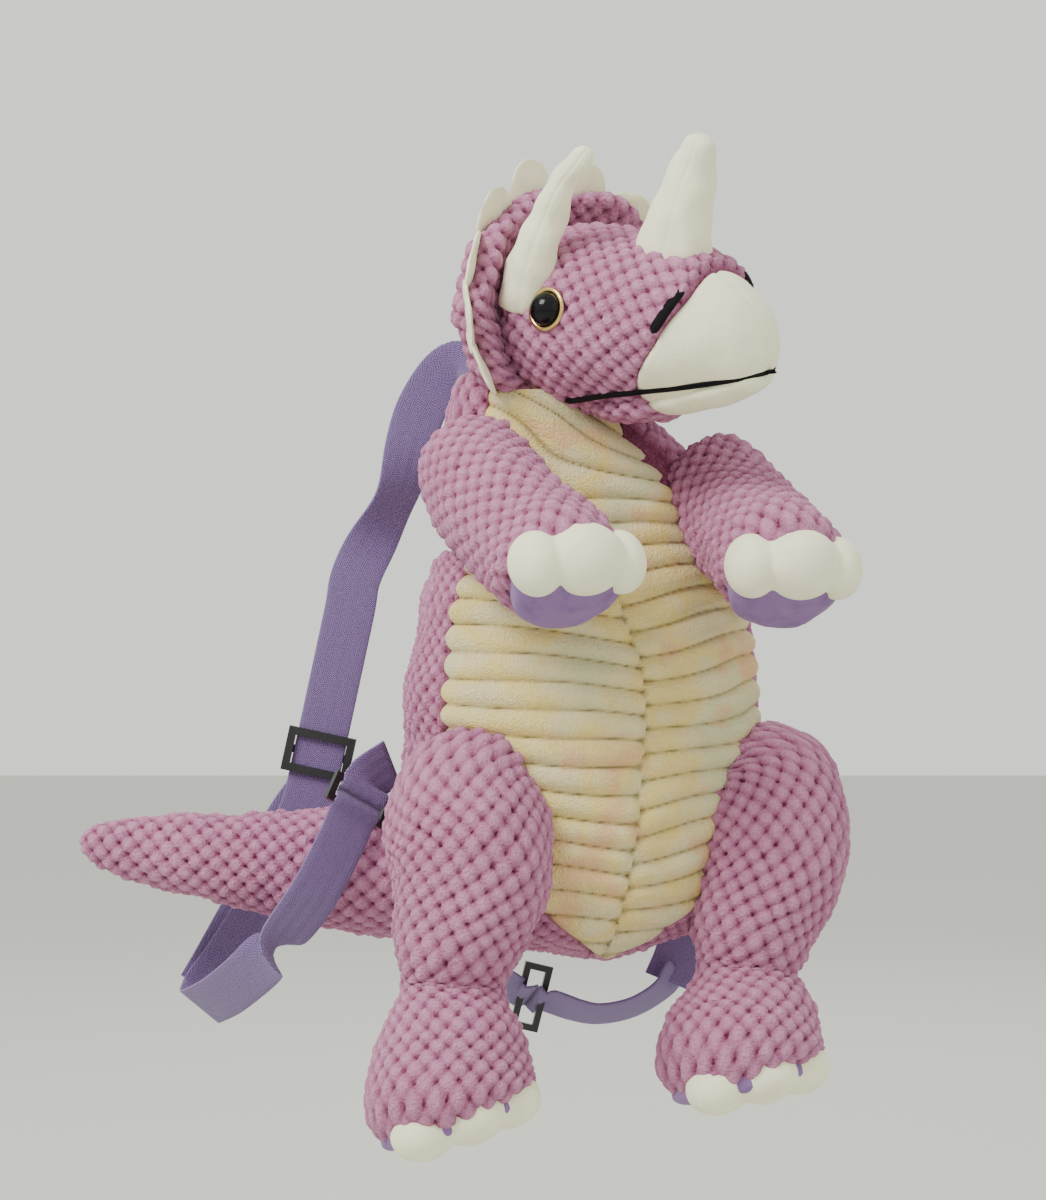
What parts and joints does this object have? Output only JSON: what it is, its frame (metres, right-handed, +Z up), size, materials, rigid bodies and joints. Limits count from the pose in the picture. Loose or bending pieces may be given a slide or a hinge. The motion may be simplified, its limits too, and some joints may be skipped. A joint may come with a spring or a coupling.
{
  "type": "plush horned dinosaur backpack",
  "caption": "Plush horned dinosaur backpack with a zipped pouch in its back, webbing shoulder straps and a hanging loop.",
  "frame": {"origin": "top of the inside of the hanging loop, where a hook carries the toy", "axes": "+Z up, +Y into the wall that the toy hangs against, +X to the viewer's right when facing the toy on its wall; the torso is turned 22 degrees and the head 50 degrees about +Z"},
  "size_m": [0.3729, 0.2287, 0.4613],
  "materials": {
    "mauve_plush": "bubble chenille plush, square puffs about 9 mm apart, soft pile",
    "belly_plush": "ribbed short-pile plush, pale yellow with peach and greenish clouds",
    "cream_plush": "smooth short-pile plush, warm cream",
    "lavender_plush": "smooth short-pile plush, lavender",
    "lavender_webbing": "herringbone webbing 25 mm wide",
    "black_plastic": "moulded black plastic",
    "gold_washer": "bright gold-coloured washer",
    "black_thread": "black satin embroidery thread",
    "polyester_stuffing": "loose polyester fibre",
    "lining_cloth": "thin woven lining",
    "zip_metal": "black lacquered zip slider and pull"
  },
  "bodies": {
    "torso": {"front_padding": "mauve_plush", "side_padding_left": "mauve_plush", "side_padding_right": "mauve_plush", "top_padding": "mauve_plush", "seat_padding": "mauve_plush", "back_panel_left": "mauve_plush", "back_panel_right": "mauve_plush", "belly_panel": "belly_plush", "pouch_lining": "lining_cloth", "zipper_tape_left": "lavender_webbing", "zipper_tape_right": "lavender_webbing", "hang_loop": "lavender_webbing", "strap_right": "lavender_webbing", "strap_right_return": "lavender_webbing", "strap_left": "lavender_webbing", "strap_left_return": "lavender_webbing", "loop_buckle_right": "black_plastic", "loop_buckle_left": "black_plastic"},
    "head": {"head_skin": "mauve_plush", "head_filling": "polyester_stuffing", "beak": "cream_plush", "lower_jaw": "cream_plush", "frill": "mauve_plush", "frill_scallops": "cream_plush", "nose_horn": "cream_plush", "brow_horn_left": "cream_plush", "brow_horn_right": "cream_plush", "eye_left": "black_plastic", "eye_right": "black_plastic", "eye_washer_left": "gold_washer", "eye_washer_right": "gold_washer", "mouth_stitch": "black_thread", "nostril_stitch_left": "black_thread", "nostril_stitch_right": "black_thread"},
    "arm_right": {"arm_right_skin": "mauve_plush", "arm_right_filling": "polyester_stuffing", "palm_right": "lavender_plush", "hand_toes_right": "cream_plush"},
    "arm_left": {"arm_left_skin": "mauve_plush", "arm_left_filling": "polyester_stuffing", "palm_left": "lavender_plush", "hand_toes_left": "cream_plush"},
    "leg_right": {"leg_right_skin": "mauve_plush", "leg_right_filling": "polyester_stuffing", "sole_right": "lavender_plush", "foot_toes_right": "cream_plush"},
    "leg_left": {"leg_left_skin": "mauve_plush", "leg_left_filling": "polyester_stuffing", "sole_left": "lavender_plush", "foot_toes_left": "cream_plush"},
    "tail": {"tail_skin": "mauve_plush", "tail_filling": "polyester_stuffing"},
    "zip_slider": {"zipper_slider": "zip_metal"},
    "zip_pull": {"zipper_pull": "zip_metal"},
    "adjuster_right": {"strap_slider_right": "black_plastic"},
    "adjuster_left": {"strap_slider_left": "black_plastic"}
  },
  "joints": [
    {"name": "head_turn", "type": "hinge", "parent": "torso", "child": "head", "pos_m": [0.02, -0.084, -0.119], "axis": [0, 0, 1], "range_deg": [-12, 12], "stiffness_Nm_per_rad": 0.8},
    {"name": "arm_right_swing", "type": "hinge", "parent": "torso", "child": "arm_right", "pos_m": [-0.03286, -0.08844, -0.136], "axis": [0.9272, 0.3746, 0], "range_deg": [-18, 10], "stiffness_Nm_per_rad": 1.2},
    {"name": "arm_left_swing", "type": "hinge", "parent": "torso", "child": "arm_left", "pos_m": [0.06357, -0.04948, -0.146], "axis": [0.9272, 0.3746, 0], "range_deg": [-8, 12], "stiffness_Nm_per_rad": 1.2},
    {"name": "leg_right_swing", "type": "hinge", "parent": "torso", "child": "leg_right", "pos_m": [-0.04616, -0.10891, -0.29], "axis": [0.9272, 0.3746, 0], "range_deg": [-15, 8], "stiffness_Nm_per_rad": 1.2},
    {"name": "leg_left_swing", "type": "hinge", "parent": "torso", "child": "leg_left", "pos_m": [0.08736, -0.05497, -0.29], "axis": [0.9272, 0.3746, 0], "range_deg": [-15, 8], "stiffness_Nm_per_rad": 1.2},
    {"name": "tail_swing", "type": "hinge", "parent": "torso", "child": "tail", "pos_m": [-0.064, -0.047, -0.333], "axis": [0, 0, 1], "range_deg": [-12, 12], "stiffness_Nm_per_rad": 0.6},
    {"name": "zip_slide", "type": "slide", "parent": "torso", "child": "zip_slider", "axis": [0, 0, -1], "range_m": [0, 0.068]},
    {"name": "zip_pull_hinge", "type": "hinge", "parent": "zip_slider", "child": "zip_pull", "pos_m": [-0.01063, -0.01, -0.2195], "axis": [0.9272, 0.3746, 0], "range_deg": [0, 100]},
    {"name": "adjuster_right_slide", "type": "slide", "parent": "torso", "child": "adjuster_right", "axis": [0.2118, 0, 0.9773], "range_m": [0, 0.04]},
    {"name": "adjuster_left_slide", "type": "slide", "parent": "torso", "child": "adjuster_left", "axis": [-0.1386, 0, 0.9903], "range_m": [0, 0.03]}
  ]
}
